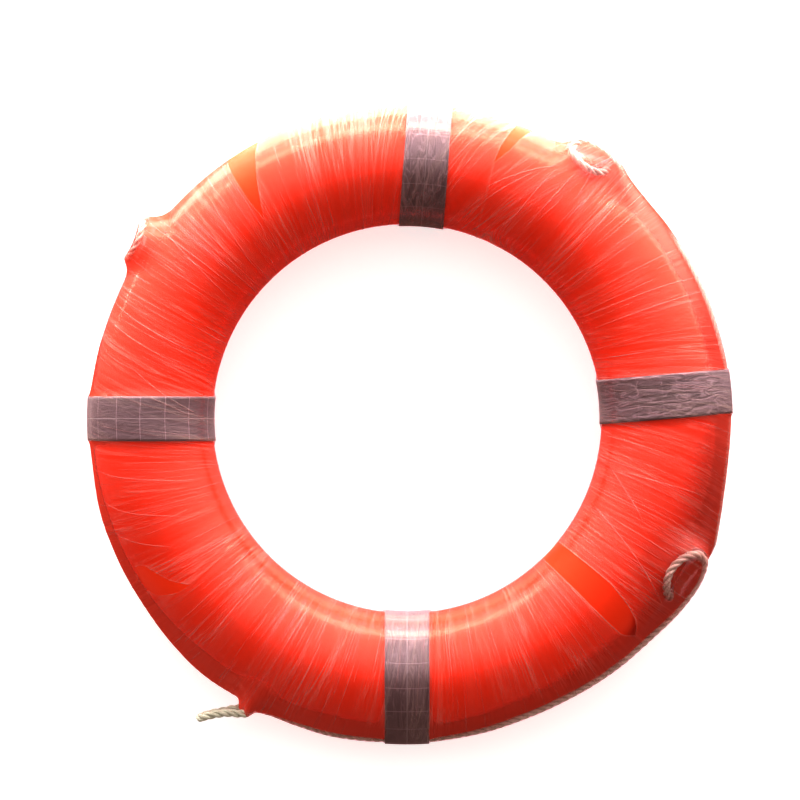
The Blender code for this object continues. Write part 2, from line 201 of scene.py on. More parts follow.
def smooth_curve(points, steps):
    """Points of a smooth curve through the given ones, whose first and last only steer it."""
    fine = [points[1]]
    for p0, p1, p2, p3 in zip(points, points[1:], points[2:], points[3:]):
        t1 = (p1 - p0).length ** 0.5
        t2 = t1 + (p2 - p1).length ** 0.5
        t3 = t2 + (p3 - p2).length ** 0.5
        for k in range(1, steps + 1):
            t = t1 + (t2 - t1) * k / steps
            a, b = p0.lerp(p1, t / t1), p1.lerp(p2, (t - t1) / (t2 - t1))
            c = p2.lerp(p3, (t - t2) / (t3 - t2))
            fine.append(a.lerp(b, t / t2).lerp(b.lerp(c, (t - t1) / (t3 - t1)), (t - t1) / (t2 - t1)))
    return fine


def even_points(points, spacing):
    """The same line as an array of points at even steps."""
    line = np.array([list(p) for p in points])
    run = np.concatenate([[0], np.cumsum(np.linalg.norm(np.diff(line, axis=0), axis=1))])
    stops = np.linspace(0, run[-1], max(2, round(run[-1] / spacing)) + 1)
    return np.stack([np.interp(stops, run, line[:, i]) for i in range(3)], axis=1), run[-1]


def line_path(quarter):
    """Even points of the line's middle from one band's middle to the next, and its length."""
    first, last, route = ROUTES[quarter]
    start = [beside_seat(first, GAP / 2), beside_seat(first, STRAIGHT_RUN)]
    end = [beside_seat(last, -STRAIGHT_RUN), beside_seat(last, -GAP / 2)]
    middle = []
    for ring_angle, section_angle, lift in route:
        spot = section_point(section_angle, LINE_LAY + LINE_RADIUS + lift * LINE_DIAMETER)
        middle.append(around(spot.x, ring_angle, spot.y))
    curve = smooth_curve(start + middle + end, steps=12)
    return even_points([start[0]] + curve + [end[1]], spacing=1.5 * MM)


PATHS = {quarter: line_path(quarter) for quarter in ROUTES}
for quarter, (path, length) in PATHS.items():
    print(f"{quarter}: {length / MM:.0f} mm of line")

# %% [markdown]
# ## Helpers for materials
# A material here is a small set of nodes. One function adds a node, sets its options and sets or links
# its inputs, and short functions name the few sets of nodes that come again and again. Hex colours, as
# a colour picker shows them, are turned into the linear values that Blender works with.

# %% Nodes and colours
def hex_colour(text):
    """Linear colour of an sRGB hex value."""
    parts = [int(text[i:i + 2], 16) / 255 for i in (0, 2, 4)]
    return tuple(c / 12.92 if c <= 0.04045 else ((c + 0.055) / 1.055) ** 2.4 for c in parts) + (1.0,)


def add(owner, kind, inputs=(), **settings):
    """Adds a node with its settings, and links or sets its inputs.

    An input can be a value, a colour in hex, an output of another node, or a node for its first one."""
    node = owner.node_tree.nodes.new("ShaderNode" + kind)
    for name, value in settings.items():
        setattr(node, name, value)
    for name, value in dict(inputs).items():
        if isinstance(value, bpy.types.Node):
            value = value.outputs[0]
        if isinstance(value, bpy.types.NodeSocket):
            owner.node_tree.links.new(value, node.inputs[name])
        else:
            node.inputs[name].default_value = hex_colour(value) if isinstance(value, str) else value
    return node


def noise(owner, size, detail, **more):
    """Noise in the object's own space, with marks of about this size."""
    spot = add(owner, "TexCoord").outputs["Object"]
    return add(owner, "TexNoise", {"Vector": spot, "Scale": 1 / size, "Detail": detail, **more})


def drawn_noise(owner, flat_map, marks, detail, turn=0, **more):
    """Noise on a strip's own map, with marks of this width and length in millimetres."""
    pulled = add(owner, "Mapping", {"Vector": flat_map, "Rotation": (0, 0, math.radians(turn)),
                                    "Scale": (*marks, 1)}, vector_type="TEXTURE")
    return add(owner, "TexNoise", {"Vector": pulled, "Scale": 1, "Detail": detail, **more},
               noise_dimensions="2D")


def blend(owner, share, low, high):
    """Colour between two."""
    return add(owner, "Mix", {0: share, 6: low, 7: high}, data_type="RGBA").outputs[2]


def remap(owner, value, low, high, at_low, at_high):
    """Straight line between two values, held beyond them."""
    return add(owner, "MapRange", {"Value": value, 1: low, 2: high, 3: at_low, 4: at_high})


def maths(owner, operation, *values, **settings):
    """One sum on one to three values."""
    return add(owner, "Math", dict(enumerate(values)), operation=operation, **settings)


def contour(owner, value, half_width, strength):
    """Thin lines where a noise passes through its middle value."""
    off = maths(owner, "ABSOLUTE", maths(owner, "SUBTRACT", value, 0.5))
    return remap(owner, off, 0, half_width, strength, 0)


def raised(owner, height, strength, distance, **more):
    """Bump of this height."""
    return add(owner, "Bump", {"Height": height, "Strength": strength, "Distance": distance, **more})


def known(owner, name):
    """Value that comes with the piece, point by point."""
    return add(owner, "Attribute", attribute_name=name).outputs["Fac"]


def new_material(name):
    """Node material that is still empty."""
    material = bpy.data.materials.new(name)
    material.use_nodes = True
    material.node_tree.nodes.clear()
    return material


def opaque(material, colour, roughness, relief, others=()):
    """Ends a material with a shader that lets no light through."""
    shader = add(material, "BsdfPrincipled", {"Base Color": colour, "Roughness": roughness,
                                              "Normal": relief, **dict(others)})
    add(material, "OutputMaterial", {"Surface": shader})
    return material


# %% Meshes and objects
def mesh_of(name, bm):
    """Mesh of a bmesh, which is freed."""
    mesh = bpy.data.meshes.new(name)
    bm.to_mesh(mesh)
    bm.free()
    return mesh


def add_piece(mesh, material, replaced):
    """Object that rides on the ring and stands for a CAD node."""
    mesh.materials.clear()
    mesh.materials.append(material)
    piece = put_in_scene(mesh.name, mesh)
    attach(piece, "root")
    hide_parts(replaced)
    return piece


def smooth_mesh(name, bm, smooth_angle):
    """Mesh of a bmesh, smooth except at sharp edges."""
    mesh = mesh_of(name, bm)
    mesh.shade_smooth()
    mesh.set_sharp_from_angle(angle=math.radians(smooth_angle))
    return mesh


# %% [markdown]
# ## Twisted rope
# A laid rope is three strands that wind round each other, and each strand is a bundle of yarns twisted
# the other way, which is why the yarns seem to run straight along the rope. The strands are modelled,
# because their shadows and the scalloped outline are what the eye reads as rope. The yarns are too
# fine for that, so they are drawn by a wave along each strand and raised with a bump.

# %% Rope material
def rope_material():
    """Cream polypropylene multifilament: dull, slightly fuzzy, with painted shade between the yarns and
    patches of grey dirt.
    """
    material = new_material("polypropylene_twisted_rope")
    uv = add(material, "UVMap", uv_map="strand_map")
    # The real yarns are 0.6 mm wide. They are drawn 1 mm wide, so that they show from a few metres.
    wave = add(material, "TexWave", {"Vector": uv, "Scale": math.pi / 10, "Distortion": 0.8, "Detail": 2,
                                     "Detail Scale": 1}, wave_type="BANDS", bands_direction="X")
    yarns = wave.outputs["Fac"]
    # The darker colour between the yarns is painted shade; the soil below is grey dirt in patches.
    yarns_with_painted_shade = blend(material, yarns, "C2BFAC", "ECEADD")
    soil = remap(material, noise(material, 28 * MM, 4), 0.42, 0.75, 0, 0.55)
    fuzzy = maths(material, "ADD", yarns, noise(material, 1.2 * MM, 3))
    return opaque(material, blend(material, soil, yarns_with_painted_shade, "A19B89"), 0.72,
                  raised(material, fuzzy, 0.6, 0.35 * MM),
                  {"Sheen Weight": 0.25, "Sheen Roughness": 0.5, "IOR": 1.49})


# %% Rope, one quarter at a time
STRAND_RADIUS = LINE_RADIUS / 2.155
STRAND_OFFSET = LINE_RADIUS - STRAND_RADIUS
LAY_LENGTH = 3.1 * LINE_DIAMETER
YARNS, YARN_LEAN = 14, 0.53


def travelling_frames(path):
    """Tangent and two side directions at each point, which turn as little as they can."""
    tangents = np.gradient(path, axis=0)
    tangents /= np.linalg.norm(tangents, axis=1, keepdims=True)
    side = np.cross(tangents[0], (0, 0, 1.0))
    sides = []
    for tangent in tangents:
        side = side - tangent * (side @ tangent)
        side = side / np.linalg.norm(side)
        sides.append(side)
    sides = np.array(sides)
    return sides, np.cross(tangents, sides)


def rope(quarter, material):
    """Three strands wound round the quarter's path, as one mesh."""
    path, length = PATHS[quarter]
    sides, ups = travelling_frames(path)
    run = np.linspace(0, length, len(path))
    name = f"rope_{quarter}"
    curve = bpy.data.curves.new(name, "CURVE")
    curve.dimensions = "3D"
    curve.bevel_depth = STRAND_RADIUS
    curve.bevel_resolution = 3
    curve.use_fill_caps = True
    for strand in range(3):
        turn = 2 * np.pi * (run / LAY_LENGTH + strand / 3)
        points = path + STRAND_OFFSET * (sides * np.cos(turn)[:, None] + ups * np.sin(turn)[:, None])
        spline = curve.splines.new("POLY")
        spline.points.add(len(points) - 1)
        spline.points.foreach_set("co", np.column_stack([points, np.ones(len(points))]).ravel())
    soft = bpy.data.objects.new(name + "_curve", curve)
    mesh = bpy.data.meshes.new_from_object(soft)
    bpy.data.objects.remove(soft)
    mesh.name = name
    # The strand's own map runs 0 to 1 along and around. The new one counts yarns, which lean back.
    strand_map = mesh.uv_layers[0]
    strand_map.name = "strand_map"
    values = np.zeros(len(mesh.loops) * 2)
    strand_map.data.foreach_get("uv", values)
    along, turns = values[0::2] * length / MM, values[1::2]
    values = np.column_stack([turns * YARNS + along * YARN_LEAN, along / 6])
    strand_map.data.foreach_set("uv", values.ravel())
    mesh.shade_smooth()
    piece = add_piece(mesh, material, f"grab_line_{quarter}")
    print(name, len(mesh.polygons), "faces")


rope_finish = rope_material()
for quarter in ROUTES:
    rope(quarter, rope_finish)

# %% [markdown]
# ## Shell
# The shell is two mouldings of polyethylene that lap and are welded at the outer and the inner edge.
# Each is a closed section spun round the ring's axis, with its lips rounded where the weld's shallow
# groove shows. The colour varies a little, as pigment does in a moulding, and the surface has the
# faint ripple of a plastic that cooled in its mould.

# %% Shell material
def shell_material():
    """Orange polyethylene: strong even colour, soft gloss, faint ripple and fine scuffs."""
    material = new_material("moulded_polyethylene")
    colour = blend(material, noise(material, 90 * MM, 3), "EE441A", "F64B1E")
    scuffs = noise(material, 14 * MM, 9, Roughness=0.75)
    ripple = raised(material, noise(material, 7 * MM, 2), 0.25, 0.4 * MM)
    return opaque(material, colour, remap(material, scuffs, 0.35, 0.75, 0.45, 0.60), ripple,
                  {"IOR": 1.54, "Specular IOR Level": 0.3})


# %% Shell halves
SHELL_TURNS = 240
LIP = 1.2 * MM


def spin_profile(bm, points, steps, closed=False):
    """Turns a line of points, each a radius and a height, round the z axis."""
    rings = [[bm.verts.new(around(radius, 360 * k / steps, height)) for radius, height in points]
             for k in range(steps)]
    for ring, following in zip(rings, rings[1:] + rings[:1]):
        for i in range(len(points) if closed else len(points) - 1):
            j = (i + 1) % len(points)
            bm.faces.new((ring[i], ring[j], following[j], following[i]))


def half_shell(name, start, end, material, node):
    """Closed section from one edge of the ring to the other, spun round the axis."""
    margin = math.degrees(LIP / HALF_HEIGHT)
    outside = [shell_point(a) for a in np.linspace(start + margin, end - margin, 72)]
    lip_in = [shell_point(end - margin / 3, -LIP * 0.5), shell_point(end, -LIP * 1.2)]
    inside = [shell_point(a, -WALL) for a in np.linspace(end, start, 40)]
    lip_out = [shell_point(start, -LIP * 1.2), shell_point(start + margin / 3, -LIP * 0.5)]
    bm = bmesh.new()
    spin_profile(bm, outside + lip_in + inside + lip_out, SHELL_TURNS, closed=True)
    bmesh.ops.recalc_face_normals(bm, faces=bm.faces)
    return add_piece(smooth_mesh(name, bm, 40), material, node)


shell_finish = shell_material()
front_half = half_shell("shell_front", 0.0, 180.0, shell_finish, "front_shell")
back_half = half_shell("shell_back", 180.0, 360.0, shell_finish, "back_shell")
print("shell faces", len(front_half.data.polygons) + len(back_half.data.polygons))

# %% [markdown]
# ## Plugs in the back
# Foam is poured in through one hole and air leaves through the other. Each hole is closed by a flush
# plug, whose CAD node is right as it is. The smooth back needs the same recess, so a turned cutter is
# taken out of it.

# %% Recesses for the plugs
def drill(piece, profile, spots):
    """Takes a turned shape out of a piece at each spot."""
    bm = bmesh.new()
    for spot in spots:
        spin_profile(bm, [(0, profile[0][1])] + list(profile) + [(0, profile[-1][1])], 48)
        fresh = [v for v in bm.verts if not v.tag]
        bmesh.ops.translate(bm, verts=fresh, vec=spot)
        for v in fresh:
            v.tag = True
    bmesh.ops.remove_doubles(bm, verts=bm.verts, dist=1e-7)
    bmesh.ops.recalc_face_normals(bm, faces=bm.faces)
    cutter = put_in_scene("cutter", mesh_of("cutter", bm))
    modifier = piece.modifiers.new("recess", "BOOLEAN")
    modifier.operation, modifier.solver, modifier.object = "DIFFERENCE", "EXACT", cutter
    bpy.context.view_layer.update()
    cut = bpy.data.meshes.new_from_object(piece.evaluated_get(bpy.context.evaluated_depsgraph_get()))
    piece.modifiers.clear()
    piece.data = cut
    bpy.data.objects.remove(cutter)


BACK_FACE = MIDDLE - HALF_HEIGHT
HEAD_HOLE, STEM_HOLE = 9.3 * MM, 6.3 * MM
drill(back_half,
      ((HEAD_HOLE, -WALL), (HEAD_HOLE, WALL / 2), (STEM_HOLE, WALL / 2), (STEM_HOLE, 2 * WALL)),
      [around(CENTRE_RADIUS, angle, BACK_FACE) for angle in (45.0, 225.0)])
print("shell_back after drilling", len(back_half.data.polygons), "faces")


# %% Plug, foam and sleeve materials
def moulded_plastic(name, low, high, roughness):
    """Small moulding: even colour with a fine spark-eroded texture that dulls the gloss."""
    material = new_material(name)
    colour = blend(material, noise(material, 20 * MM, 2), low, high)
    grain = raised(material, noise(material, 0.9 * MM, 3), 0.35, 0.1 * MM)
    return opaque(material, colour, roughness, grain, {"IOR": 1.5})


def foam_material():
    """Rigid polyurethane foam: pale yellow, matt, with the broken cells of its skin."""
    material = new_material("rigid_polyurethane_foam")
    spot = add(material, "TexCoord").outputs["Object"]
    cells = add(material, "TexVoronoi", {"Vector": spot, "Scale": 1 / (1.1 * MM)})
    colour = blend(material, noise(material, 35 * MM, 4), "D9C68C", "EFE3B8")
    return opaque(material, colour, 0.95, raised(material, cells, 0.6, 0.4 * MM), {"IOR": 1.5})


plug_finish = moulded_plastic("moulded_polypropylene_plug", "C22A14", "D93A1E", 0.48)
kept_finishes = {
    "foam_fill_plug": plug_finish,
    "foam_vent_plug": plug_finish,
    "foam_core": foam_material(),
    "line_joint_sleeve": moulded_plastic("heat_shrunk_polyolefin", "17181A", "242528", 0.55),
}
for node, material in kept_finishes.items():
    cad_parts[node].data.materials.clear()
    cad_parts[node].data.materials.append(material)

# %% [markdown]
# ## Strips that go round the section
# Straps, tapes and film are all thin sheets laid round the ring's section. Each starts as a flat grid,
# whose two directions run from 0 to 1, and a rule then lays every point of it where it belongs. The
# seam is merged and falls on the back. The rule also gives each point its place on the flat strip,
# which the material uses, so that a weave or a print follows the strip.

# %% Laying a grid on a surface
def lay_grid(bm, across, along, rule):
    """Adds a grid whose points rule(u, v) places. It gives positions, a flat map and point values."""
    flat = bmesh.new()
    bmesh.ops.create_grid(flat, x_segments=across, y_segments=along, size=0.5)
    mesh = mesh_of("flat", flat)
    points = np.zeros(len(mesh.vertices) * 3)
    mesh.vertices.foreach_get("co", points)
    points = points.reshape(-1, 3)
    places, strip, values = rule(points[:, 0] + 0.5, points[:, 1] + 0.5)
    mesh.vertices.foreach_set("co", places.ravel())
    corners = np.zeros(len(mesh.loops), int)
    mesh.loops.foreach_get("vertex_index", corners)
    mesh.uv_layers.new(name="strip_map").data.foreach_set("uv", strip[corners].ravel())
    for name, value in values.items():
        mesh.attributes.new(name, "FLOAT", "POINT").data.foreach_set("value", value.astype(np.float32))
    bm.from_mesh(mesh)
    bpy.data.meshes.remove(mesh)


def close_seam(bm):
    """Merges the points where the strip meets itself."""
    bmesh.ops.remove_doubles(bm, verts=bm.verts, dist=1e-6)


# %% [markdown]
# ## Straps and silver tape
# A woven strap holds the line to the shell at each band, and the tape is pulled taut over it. The taut
# outline is the convex hull of the shell's section and of the line's. On the right band, where the line
# runs at the very edge, this makes the square bump that the photograph shows.

# %% Taut outline round the shell and the line
OUTLINE_STEPS = 260
# Each band is cut from the roll this much further on, so that no two show the same piece of pattern.
PRINT_SHIFT = 61 * MM


def taut_outline(band, lift):
    """Even points round the section, this far off the shell and off the line. It starts on the back."""
    middle = seat(band)
    bulge = BANDS[band][2] + GAP + STRAIGHT_RUN ** 2 / (2 * middle.x) + lift - SKIN_LIFT
    turns = np.linspace(0, 2 * np.pi, 73)[:-1]
    points = [shell_point(a, lift) for a in np.linspace(-90, 268, 240)]
    points += [middle + Vector((math.cos(a), math.sin(a))) * bulge for a in turns]
    hull = [points[i] for i in convex_hull_2d(points)]
    if sum(p.cross(q) for p, q in zip(hull, hull[1:] + hull[:1])) < 0:
        hull.reverse()
    lowest = min(range(len(hull)), key=lambda i: (round(hull[i].y, 6), abs(hull[i].x - CENTRE_RADIUS)))
    hull = hull[lowest:] + hull[:lowest + 1]
    spacing = sum((q - p).length for p, q in zip(hull, hull[1:])) / OUTLINE_STEPS
    even, length = even_points([(p.x, p.y, 0) for p in hull], spacing)
    return even[:, :2], length


def band_strip(name, band, lift, size, material, node, slot, creased=0.0, welded=0.0):
    """Strip with parallel edges round the section at a band's place."""
    outline, length = taut_outline(band, lift)
    turn = math.radians(BANDS[band][0])
    thickness, width = size

    def rule(u, v):
        steps = np.linspace(0, 1, len(outline))
        out, level = (np.interp(v, steps, outline[:, i]) for i in (0, 1))
        side = (u - 0.5) * width
        ahead = np.sqrt(out ** 2 - side ** 2)
        x = ahead * math.cos(turn) - side * math.sin(turn)
        y = ahead * math.sin(turn) + side * math.cos(turn)
        shift = list(BANDS).index(band) * PRINT_SHIFT
        strip = np.stack([v * length + shift, u * width], axis=1) / MM
        # The creases are strongest where the strip comes over the front.
        middle = np.interp(v, [0.25, 0.33, 0.60, 0.70], [0.35, 1.0, 1.0, 0.25])
        values = {"creased": creased * middle, "welded": welded + 0 * v}
        return np.stack([x, y, level], axis=1), strip, values

    bm = bmesh.new()
    lay_grid(bm, 16, OUTLINE_STEPS, rule)
    close_seam(bm)
    bmesh.ops.recalc_face_normals(bm, faces=bm.faces)
    piece = add_piece(smooth_mesh(name, bm, 50), material, node)
    skin = piece.modifiers.new("thickness", "SOLIDIFY")
    skin.thickness, skin.offset = thickness, 1.0


# %% Strap and tape materials
def strap_material():
    """Woven polyester webbing: matt, with a rib for each weft thread."""
    material = new_material("woven_polyester_webbing")
    strip = add(material, "UVMap", uv_map="strip_map")
    # Ribs are 1.4 mm apart along the strap and the warp threads 0.9 mm apart across it.
    scaled = add(material, "Mapping", {"Vector": strip, "Scale": (1 / 1.4, 1 / 0.9, 1)})
    threads = add(material, "TexBrick", {"Vector": scaled, "Scale": 1, "Mortar Size": 0.12, "Brick Width": 2,
                                         "Row Height": 1, "Color1": "B33A1C", "Color2": "C2482A",
                                         "Mortar": "6E1E0E"})
    weave = raised(material, threads.outputs["Fac"], 0.6, 0.2 * MM)
    weave.invert = True
    return opaque(material, threads, 0.85, weave, {"Sheen Weight": 0.3})


def tape_material():
    """Prismatic reflective tape: grey-mauve cells under clear resin, pale weld lines, creased skin with
    painted shade in its hollows and painted highlights on its ridges.
    """
    material = new_material("prismatic_reflective_tape")
    strip = add(material, "UVMap", uv_map="strip_map")
    # The cells are sealed every 28 mm along the tape and along its middle, and the prisms are 2.5 mm.
    cells = add(material, "TexBrick", {"Vector": strip, "Scale": 1, "Mortar Size": 0.45, "Mortar Smooth": 0.3,
                                       "Brick Width": 28, "Row Height": 25}, offset=0.0).outputs["Fac"]
    tilted = add(material, "Mapping", {"Vector": strip, "Rotation": (0, 0, math.radians(45)),
                                       "Scale": (1 / 2.5, 1 / 2.5, 1)})
    prisms = add(material, "TexChecker", {"Vector": tilted, "Scale": 1}).outputs["Fac"]
    base = blend(material, noise(material, 30 * MM, 3), "776B6E", "8F8387")
    layers = blend(material, prisms, base, "81767A")
    # Creases run along the tape, long in that direction: dull hollows of painted shade and pale lines of
    # painted highlight on their ridges. How creased each tape is, and how far its weld lines show, comes
    # with the piece.
    crinkle = drawn_noise(material, strip, (30, 6.5), 2, Distortion=0.9)
    hollow, ridge = remap(material, crinkle, 0.47, 0.33, 0, 0.6), contour(material, crinkle, 0.05, 0.5)
    creased, welded = known(material, "creased"), known(material, "welded")
    # Painted shade in the crease hollows and painted highlight on their ridges, then the pale weld lines.
    for share, how_much, tone in ((hollow, creased, "655A5D"), (ridge, creased, "C0B6BA"),
                              (cells, welded, "B9AFB3")):
        layers = blend(material, maths(material, "MULTIPLY", share, how_much), layers, tone)
    folds = maths(material, "MULTIPLY", crinkle, creased)
    relief = raised(material, folds, 0.6, 2.5 * MM, Normal=raised(material, cells, 0.5, 0.2 * MM))
    return opaque(material, layers, 0.32, relief,
                  {"Metallic": 0.25, "IOR": 1.52, "Coat Weight": 0.4, "Coat Roughness": 0.12})


# %% Straps and tapes
# How creased each tape is, and how far its weld lines show, from 0 to 1.
TAPE_WEAR = {"right": (1.0, 0.2), "top": (0.8, 0.45), "left": (0.3, 0.9), "bottom": (0.5, 0.8)}
strap_finish, tape_finish = strap_material(), tape_material()
for band in BANDS:
    band_strip(f"strap_{band}", band, SKIN_LIFT, (STRAP_THICKNESS, STRAP_WIDTH), strap_finish,
               f"line_strap_{band}", "woven_strap")
    band_strip(f"tape_{band}", band, TAPE_LIFT, (TAPE_THICKNESS, TAPE_WIDTH), tape_finish,
               f"reflective_band_{band}", "reflective_tape", *TAPE_WEAR[band])

# %% [markdown]
# ## Stretch film: its shape
# The ring is wound with clear stretch film, drawn tight round the section with the line under it. Tight
# film doesn't follow every hollow: it spans from the rope to the shell and from the tape's edge to the
# shell. Its height over the shell is kept as a map, ring angle by way round the section. What lies under
# it pushes the map up, and relaxing the rest like a stretched skin finds the spans.

# %% Unrolled shell
RING_COUNT, SECTION_COUNT = 1200, 200
SECTION_ANGLES = np.linspace(0.0, 360.0, 2881)
SECTION_LINE = np.array([shell_point(a) for a in SECTION_ANGLES])
SECTION_RUN = np.concatenate([[0.0], np.cumsum(np.hypot(*np.diff(SECTION_LINE, axis=0).T))])
GIRTH = SECTION_RUN[-1]
STEP_ROUND = GIRTH / SECTION_COUNT
BASE = np.stack([np.interp(np.arange(SECTION_COUNT) * STEP_ROUND, SECTION_RUN, SECTION_LINE[:, i])
                 for i in (0, 1)], axis=1)
lean = np.roll(BASE, -2, axis=0) - np.roll(BASE, 2, axis=0)
NORMAL = np.stack([lean[:, 1], -lean[:, 0]], axis=1) / np.hypot(*lean.T)[:, None]


def run_at(angle):
    """Way round the section, from the outer edge, at a section angle in degrees."""
    return np.interp(np.mod(angle, 360.0), SECTION_ANGLES, SECTION_RUN)


def wrapped(run, table):
    """Values of a table with one entry for each step round the section."""
    return np.interp(run, np.arange(SECTION_COUNT) * STEP_ROUND, table, period=GIRTH)


def film_place(ring, run, height):
    """Places at ring angles in degrees, ways round the section, and heights over the shell."""
    radius = wrapped(run, BASE[:, 0]) + wrapped(run, NORMAL[:, 0]) * height
    level = wrapped(run, BASE[:, 1]) + wrapped(run, NORMAL[:, 1]) * height
    a = np.radians(ring)
    return np.stack([radius * np.cos(a), radius * np.sin(a), level], axis=1)


print("girth", round(GIRTH / MM, 1), "mm")

# %% What the film lies on
FILM_LIFT = 0.6 * MM
LINE_COVER = 0.4 * MM
TAPE_COVER = 0.35 * MM
# The film passes by a loop of the line that hangs further out than this.
FREE_LOOP = 24 * MM
# A point of the line can lift the cells of the map this far to each side of it.
NEAR_CELLS = np.arange(-4, 5)


def film_floor():
    """Least height that the shell, the line and the tapes leave to the film."""
    floor = np.full((RING_COUNT, SECTION_COUNT), FILM_LIFT)
    ring = np.arange(RING_COUNT) * 2 * np.pi / RING_COUNT
    radius = LINE_RADIUS + LINE_COVER
    for path, _ in PATHS.values():
        for x, y, z in path:
            turn, out = math.atan2(y, x), math.hypot(x, y)
            apart = np.hypot(BASE[:, 0] - out, BASE[:, 1] - z)
            nearest = int(np.argmin(apart))
            if apart[nearest] > FREE_LOOP:
                continue
            columns = (int(round(turn * RING_COUNT / (2 * np.pi))) + NEAR_CELLS) % RING_COUNT
            rows = (nearest + NEAR_CELLS) % SECTION_COUNT
            delta = (ring[columns] - turn)[:, None]
            away = out * np.cos(delta) - BASE[rows, 0], z - BASE[rows, 1] + 0 * delta
            rise = away[0] * NORMAL[rows, 0] + away[1] * NORMAL[rows, 1]
            side = away[0] ** 2 + away[1] ** 2 - rise ** 2 + (out * np.sin(delta)) ** 2
            top = rise + np.sqrt(np.maximum(radius ** 2 - side, 0.0))
            patch = np.ix_(columns, rows)
            floor[patch] = np.where(side < radius ** 2, np.maximum(floor[patch], top), floor[patch])
    for band, (angle, _, _) in BANDS.items():
        outline, _ = taut_outline(band, TAPE_LIFT + TAPE_THICKNESS + TAPE_COVER)
        off = ring - math.radians(angle)
        for row in range(SECTION_COUNT):
            to = outline - BASE[row]
            rise = to @ NORMAL[row]
            side = to[:, 0] * NORMAL[row, 1] - to[:, 1] * NORMAL[row, 0]
            hits = np.nonzero((side[:-1] * side[1:] <= 0) & (rise[:-1] > -MM) & (rise[:-1] < 40 * MM))[0]
            if not len(hits):
                continue
            share = side[hits] / (side[hits] - side[hits + 1] + 1e-12)
            top = (rise[hits] + share * (rise[hits + 1] - rise[hits])).max()
            near = (np.abs(np.sin(off) * BASE[row, 0]) <= TAPE_WIDTH / 2) & (np.cos(off) > 0)
            floor[near, row] = np.maximum(floor[near, row], top)
    return floor


RING_PULL = 0.35
LEAST_BEND, MOST_BEND = 4.0, 40.0
COARSE_ROUNDS, FINE_ROUNDS = 700, 160


def relax(floor, height, rounds):
    """Stretched skin over a floor: pull round the section, and less pull round the ring.

    Where the shell bends, the pull presses the skin down. The shell's bend is in 1/m."""
    rings, rows = floor.shape
    stride = SECTION_COUNT // rows
    out, step = BASE[::stride, 0], GIRTH / rows
    pull_round, pull_ring = 1.0 / step ** 2, RING_PULL / (out * 2 * np.pi / rings) ** 2
    heading = np.unwrap(np.arctan2(NORMAL[:, 1], NORMAL[:, 0]))
    bend = np.gradient(heading)[::stride] / STEP_ROUND
    press = np.clip(bend, LEAST_BEND, MOST_BEND) + RING_PULL * NORMAL[::stride, 0] / out
    for _ in range(rounds):
        pulled = pull_round * (np.roll(height, 1, axis=1) + np.roll(height, -1, axis=1))
        pulled += pull_ring * (np.roll(height, 1, axis=0) + np.roll(height, -1, axis=0))
        height = np.maximum(floor, (pulled - press) / (2 * pull_round + 2 * pull_ring))
    return height


fine_floor = film_floor()
coarse_floor = fine_floor.reshape(RING_COUNT // 2, 2, SECTION_COUNT // 2, 2).max(axis=(1, 3))
coarse = relax(coarse_floor, coarse_floor, COARSE_ROUNDS)
coarse = coarse.repeat(2, axis=0).repeat(2, axis=1)
FILM_HEIGHT = relax(fine_floor, np.maximum(fine_floor, coarse), FINE_ROUNDS)
print(f"film: highest {FILM_HEIGHT.max() / MM:.1f} mm, mean {FILM_HEIGHT.mean() / MM:.2f} mm")


def on_map(table, ring, run):
    """Value of a map of the film, between its points."""
    a, b = np.mod(ring / 360, 1.0) * RING_COUNT, np.mod(run / GIRTH, 1.0) * SECTION_COUNT
    i, j = np.floor(a).astype(int), np.floor(b).astype(int)
    p, q = a - i, b - j
    i, j, i2, j2 = i % RING_COUNT, j % SECTION_COUNT, (i + 1) % RING_COUNT, (j + 1) % SECTION_COUNT
    return ((1 - p) * ((1 - q) * table[i, j] + q * table[i, j2])
            + p * ((1 - q) * table[i2, j] + q * table[i2, j2]))


# %% [markdown]
# ## Stretch film: its turns, gaps and creases
# The film comes off a roll as it is wound, so stretch marks and creases run the way it was pulled: round
# the section, a little slanted, and fanned out where it was pulled round a loop of the line. In each
# quarter two turns of it leave a narrow wedge of the shell bare.

# %% Slant of the film
SLANTS = np.array(((5, -20), (20, -14), (35, -9), (50, 0), (60, -46), (80, -46), (100, -15), (130, -8),
                   (145, 0), (160, -15), (172, -30), (200, -10), (225, 0), (245, -6), (265, -12),
                   (290, -10), (320, 0), (333, -6), (350, -25)), float)
RUN_FRONT, RUN_INNER, RUN_BACK = run_at(90.0), run_at(180.0), run_at(270.0)


def by_ring(table, ring, column=1):
    """Value of a table at ring angles in degrees."""
    return np.interp(ring, table[:, 0], table[:, column], period=360)


def drift(start, run):
    """Degrees that a pull line, at this ring angle in front, has moved by this way round."""
    slant = np.tan(np.radians(by_ring(SLANTS, start)))
    # The lines slant over the front and run straight round the back.
    front = np.interp(np.mod(run - RUN_BACK, GIRTH), [0, RUN_FRONT - RUN_BACK + GIRTH, GIRTH],
                      [0.25 * GIRTH, 0, -0.25 * GIRTH])
    return np.degrees(slant * front / CENTRE_RADIUS)


def pull_line(ring, run):
    """Ring angle where the pull line through a place crosses the front."""
    start = ring
    for _ in range(4):
        start = ring - drift(start, run)
    return start


